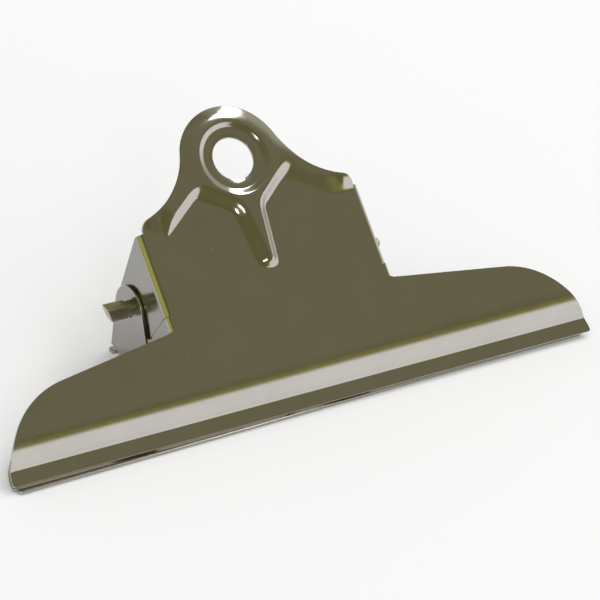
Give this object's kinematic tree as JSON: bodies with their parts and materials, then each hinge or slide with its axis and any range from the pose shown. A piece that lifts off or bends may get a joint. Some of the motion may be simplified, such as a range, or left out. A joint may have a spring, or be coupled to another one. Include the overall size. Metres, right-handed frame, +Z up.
{
  "type": "bulldog clip",
  "caption": "Wide plated steel paper clip: a pressed front plate with straight lip, ribbed neck and dished hang hole turns on a pin in the ears of a flat base, closed by a torsion spring.",
  "frame": {"origin": "on the underside of the base plate, straight below the hinge pin, halfway along the jaw", "axes": "+X along the jaw and the hinge pin, +Y from the lips towards the hang hole, +Z up out of the base plate"},
  "size_m": [0.152, 0.0541, 0.0501],
  "materials": {
    "plated_front": "bright nickel plate, lightly scuffed",
    "plated_base": "bright nickel plate",
    "plated_pin": "bright nickel plate",
    "spring_wire": "drawn spring wire"
  },
  "bodies": {
    "base": {"base_jaw": "plated_base", "hinge_pin": "plated_pin", "torsion_spring": "spring_wire"},
    "front": {"front_jaw": "plated_front"}
  },
  "joints": [
    {"name": "jaw_hinge", "type": "hinge", "parent": "base", "child": "front", "pos_m": [0, 0, 0.0147], "axis": [-1, 0, 0], "range_deg": [0, 30], "stiffness_Nm_per_rad": 0.6, "springref_deg": -51.57, "deforming": ["torsion_spring"]}
  ]
}
